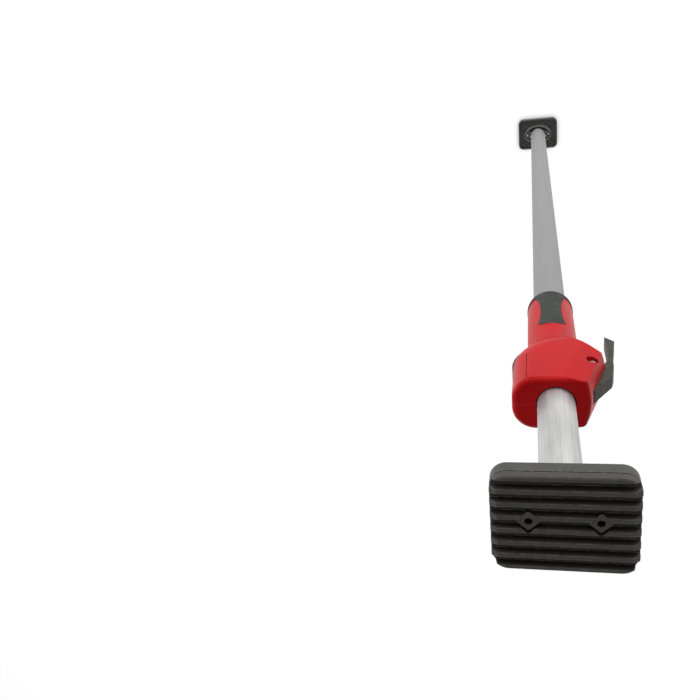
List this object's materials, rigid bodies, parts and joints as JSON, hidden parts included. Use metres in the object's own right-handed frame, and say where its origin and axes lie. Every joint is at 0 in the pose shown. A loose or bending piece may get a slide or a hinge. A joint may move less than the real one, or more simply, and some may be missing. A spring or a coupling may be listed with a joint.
{
  "type": "telescopic prop",
  "caption": "Telescopic support prop with a one-hand pump grip, release lever, sliding inner tube and tilting ribbed rubber pads at both ends.",
  "frame": {"origin": "on the tubes' axis, at the crests of the foot pad's ribs, where the prop bears", "axes": "+Z along the tubes from foot to head, +X towards the pump lever, -Y the side with the screw heads"},
  "size_m": [0.098, 0.069, 1.553],
  "materials": {
    "red_plastic": "satin moulded red",
    "soft_grip": "soft dark grey",
    "outer_paint": "matte light grey coat",
    "inner_steel": "zinc plated, satin",
    "lever_plastic": "dark grey moulded",
    "bright_steel": "bright",
    "hard_steel": "hardened, dark",
    "spring_steel": "spring wire",
    "bearing_plastic": "black acetal",
    "pad_rubber": "matte black",
    "pad_plastic": "matte black",
    "dark_screw": "blackened"
  },
  "bodies": {
    "stand": {"outer_tube": "outer_paint", "foot_plug": "bearing_plastic", "foot_plug_rivet": "bright_steel", "housing_front": "red_plastic", "housing_rear": "red_plastic", "housing_screws": "bright_steel", "grip_insert_front": "soft_grip", "grip_insert_rear": "soft_grip", "grip_end_ring": "soft_grip", "thrust_collar": "hard_steel", "brake_spring": "spring_steel", "drive_spring": "spring_steel", "guide_bush": "bearing_plastic", "pump_lever_pin": "bright_steel", "release_lever_pin": "bright_steel"},
    "foot_pad": {"foot_plate": "pad_plastic", "foot_tread": "pad_rubber", "foot_hinge_pin": "bright_steel", "foot_pad_screws": "dark_screw"},
    "inner_guide": {"inner_guide": "bearing_plastic"},
    "inner_tube": {"inner_tube": "inner_steel", "head_plug": "bearing_plastic", "head_plug_rivet": "bright_steel"},
    "head_pad": {"head_plate": "pad_plastic", "head_tread": "pad_rubber", "head_hinge_pin": "bright_steel", "head_pad_screws": "dark_screw"},
    "pump_lever": {"pump_lever": "lever_plastic"},
    "drive_plate": {"drive_plate": "hard_steel"},
    "release_lever": {"release_lever": "lever_plastic"},
    "brake_plate": {"brake_plate": "hard_steel"}
  },
  "joints": [
    {"name": "tube_slide", "type": "slide", "parent": "stand", "child": "inner_guide", "axis": [0, 0, 1], "range_m": [-0.103, 0.947]},
    {"name": "tube_turn", "type": "hinge", "parent": "inner_guide", "child": "inner_tube", "pos_m": [0, 0, 0.25], "axis": [0, 0, 1], "continuous": true},
    {"name": "head_tilt", "type": "hinge", "parent": "inner_tube", "child": "head_pad", "pos_m": [0, 0, 1.526], "axis": [1, 0, 0], "range_deg": [-60, 60]},
    {"name": "foot_tilt", "type": "hinge", "parent": "stand", "child": "foot_pad", "pos_m": [0, 0, 0.027], "axis": [1, 0, 0], "range_deg": [-60, 60]},
    {"name": "pump_lever", "type": "hinge", "parent": "stand", "child": "pump_lever", "pos_m": [0.0296, 0, 1.356], "axis": [0, 1, 0], "range_deg": [0, 12]},
    {"name": "drive_stroke", "type": "slide", "parent": "stand", "child": "drive_plate", "axis": [0, 0, 1], "range_m": [0, 0.002], "stiffness_N_per_m": 700, "springref_m": -0.0007, "deforming": ["drive_spring"]},
    {"name": "release_lever", "type": "hinge", "parent": "stand", "child": "release_lever", "pos_m": [-0.0284, 0, 1.37335], "axis": [0, -1, 0], "range_deg": [0, 2], "stiffness_Nm_per_rad": 3, "springref_deg": -4.58},
    {"name": "brake_lift", "type": "hinge", "parent": "stand", "child": "brake_plate", "pos_m": [0.018, 0, 1.31935], "axis": [0, 1, 0], "range_deg": [0, 2.6], "deforming": ["brake_spring"]}
  ],
  "couplings": [
    {"joint": "pump_lever", "follows": "drive_stroke", "rad_per_m": 104.17},
    {"joint": "brake_lift", "follows": "release_lever", "ratio": 1.3}
  ]
}
